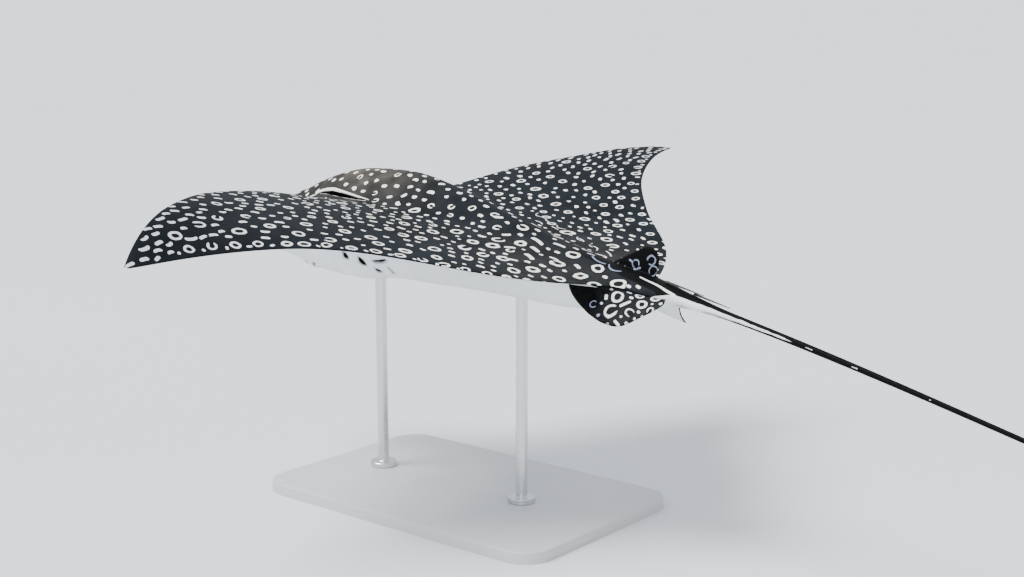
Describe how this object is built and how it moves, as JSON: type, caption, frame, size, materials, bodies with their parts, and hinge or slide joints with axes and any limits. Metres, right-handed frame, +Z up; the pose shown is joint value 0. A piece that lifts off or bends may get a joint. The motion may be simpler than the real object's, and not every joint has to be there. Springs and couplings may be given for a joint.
{
  "type": "spotted eagle ray display model",
  "caption": "Life-size spotted eagle ray in a banked swimming pose, with arched wings, a long whip tail and stinging spines, held by rods on a flat display stand.",
  "frame": {"origin": "centre of the stand base's underside, on the floor", "axes": "+Z up, the ray's nose along -Y and its tail along +Y, its left wing along +X"},
  "size_m": [1.465, 4.1301, 0.626],
  "materials": {
    "skin": "smooth scaleless skin, charcoal above with white rings, dots and short bars, white below; satin",
    "eye": "glossy dark eye with a brown-grey iris",
    "spine": "dark barbed dentine under a thin skin sheath",
    "stand_board": "flat board, satin pale grey lacquer with a small rounded edge",
    "stand_metal": "brushed stainless steel rod and collar"
  },
  "bodies": {
    "root": {"snout": "skin", "head": "skin", "trunk": "skin", "left_wing": "skin", "right_wing": "skin", "left_pelvic_fin": "skin", "right_pelvic_fin": "skin", "dorsal_fin": "skin", "tail_1": "skin", "tail_2": "skin", "tail_3": "skin", "tail_4": "skin", "left_eye": "eye", "right_eye": "eye", "spine_1": "spine", "spine_2": "spine", "stand_base": "stand_board", "stand_rod_front": "stand_metal", "stand_rod_rear": "stand_metal"}
  },
  "joints": []
}
